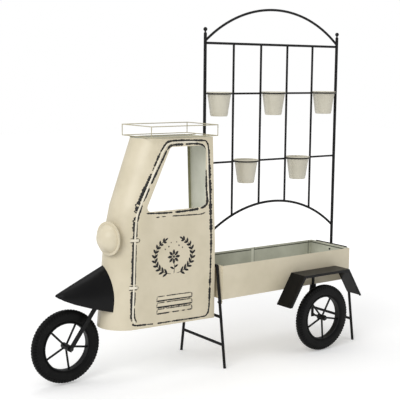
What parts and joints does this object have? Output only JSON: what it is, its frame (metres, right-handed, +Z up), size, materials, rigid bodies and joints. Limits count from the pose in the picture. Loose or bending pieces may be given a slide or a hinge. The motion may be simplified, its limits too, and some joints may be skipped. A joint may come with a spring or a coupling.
{
  "type": "flower cart stand",
  "caption": "Garden planter stand shaped as a small three-wheeled cart: half-round cab, tray on splayed legs and a trellis with hanging pots.",
  "frame": {"origin": "on the floor under the middle of the whole stand's box", "axes": "+X from the nose to the rear of the tray, +Y to the plain far side, +Z up"},
  "size_m": [1.6254, 0.404, 1.5805],
  "materials": {
    "cream_enamel": "satin",
    "roof_enamel": "satin",
    "tray_enamel": "satin",
    "black_enamel": "satin",
    "tyre_rubber": "matt",
    "dark_fasteners": "satin"
  },
  "bodies": {
    "stand": {"axle_nuts": "dark_fasteners", "cab_back_wall": "cream_enamel", "cab_bolts": "dark_fasteners", "cab_roof": "roof_enamel", "cab_skin": "cream_enamel", "cab_support_bar": "black_enamel", "front_axle": "dark_fasteners", "front_crossbar": "black_enamel", "front_far_leg": "black_enamel", "front_finial": "black_enamel", "front_near_leg": "black_enamel", "front_shoulder_bars": "black_enamel", "front_trellis_post": "black_enamel", "front_wheel_blade": "black_enamel", "headlight_bowl": "cream_enamel", "headlight_stem": "cream_enamel", "leg_bolts": "dark_fasteners", "nose_fender": "black_enamel", "post_bolts": "dark_fasteners", "pot_ring_1": "black_enamel", "pot_ring_2": "black_enamel", "pot_ring_3": "black_enamel", "pot_ring_4": "black_enamel", "pot_ring_5": "black_enamel", "rack_low_rail": "cream_enamel", "rack_posts": "cream_enamel", "rack_top_rail": "cream_enamel", "rear_axle": "dark_fasteners", "rear_crossbar": "black_enamel", "rear_far_leg": "black_enamel", "rear_fender": "black_enamel", "rear_finial": "black_enamel", "rear_near_leg": "black_enamel", "rear_shoulder_bars": "black_enamel", "rear_trellis_post": "black_enamel", "rear_wheel_strap": "black_enamel", "side_bolts": "dark_fasteners", "tray_far_side": "tray_enamel", "tray_floor": "tray_enamel", "tray_front_end": "tray_enamel", "tray_near_side": "tray_enamel", "tray_rear_end": "tray_enamel", "tray_seam_strip": "tray_enamel", "trellis_arch": "black_enamel", "trellis_low_arch": "black_enamel", "trellis_row_rods": "black_enamel", "trellis_top_bar": "black_enamel", "trellis_upright_1": "black_enamel", "trellis_upright_2": "black_enamel", "trellis_upright_3": "black_enamel", "trellis_upright_4": "black_enamel"},
    "front_wheel": {"front_tyre": "tyre_rubber", "front_wheel_rim": "black_enamel"},
    "rear_wheel": {"rear_tyre": "tyre_rubber", "rear_wheel_rim": "black_enamel"},
    "pot_body_1": {"pot_1": "cream_enamel"},
    "pot_body_2": {"pot_2": "cream_enamel"},
    "pot_body_3": {"pot_3": "cream_enamel"},
    "pot_body_4": {"pot_4": "cream_enamel"},
    "pot_body_5": {"pot_5": "cream_enamel"}
  },
  "joints": [
    {"name": "front_wheel_spin", "type": "hinge", "parent": "stand", "child": "front_wheel", "pos_m": [-0.65765, 0.0705, 0.162], "axis": [0, 1, 0], "continuous": true},
    {"name": "rear_wheel_spin", "type": "hinge", "parent": "stand", "child": "rear_wheel", "pos_m": [0.55835, -0.1735, 0.157], "axis": [0, 1, 0], "continuous": true},
    {"name": "pot_1_lift", "type": "slide", "parent": "stand", "child": "pot_body_1", "axis": [0, 0, 1], "range_m": [0, 0.13]},
    {"name": "pot_2_lift", "type": "slide", "parent": "stand", "child": "pot_body_2", "axis": [0, 0, 1], "range_m": [0, 0.13]},
    {"name": "pot_3_lift", "type": "slide", "parent": "stand", "child": "pot_body_3", "axis": [0, 0, 1], "range_m": [0, 0.13]},
    {"name": "pot_4_lift", "type": "slide", "parent": "stand", "child": "pot_body_4", "axis": [0, 0, 1], "range_m": [0, 0.13]},
    {"name": "pot_5_lift", "type": "slide", "parent": "stand", "child": "pot_body_5", "axis": [0, 0, 1], "range_m": [0, 0.13]}
  ]
}
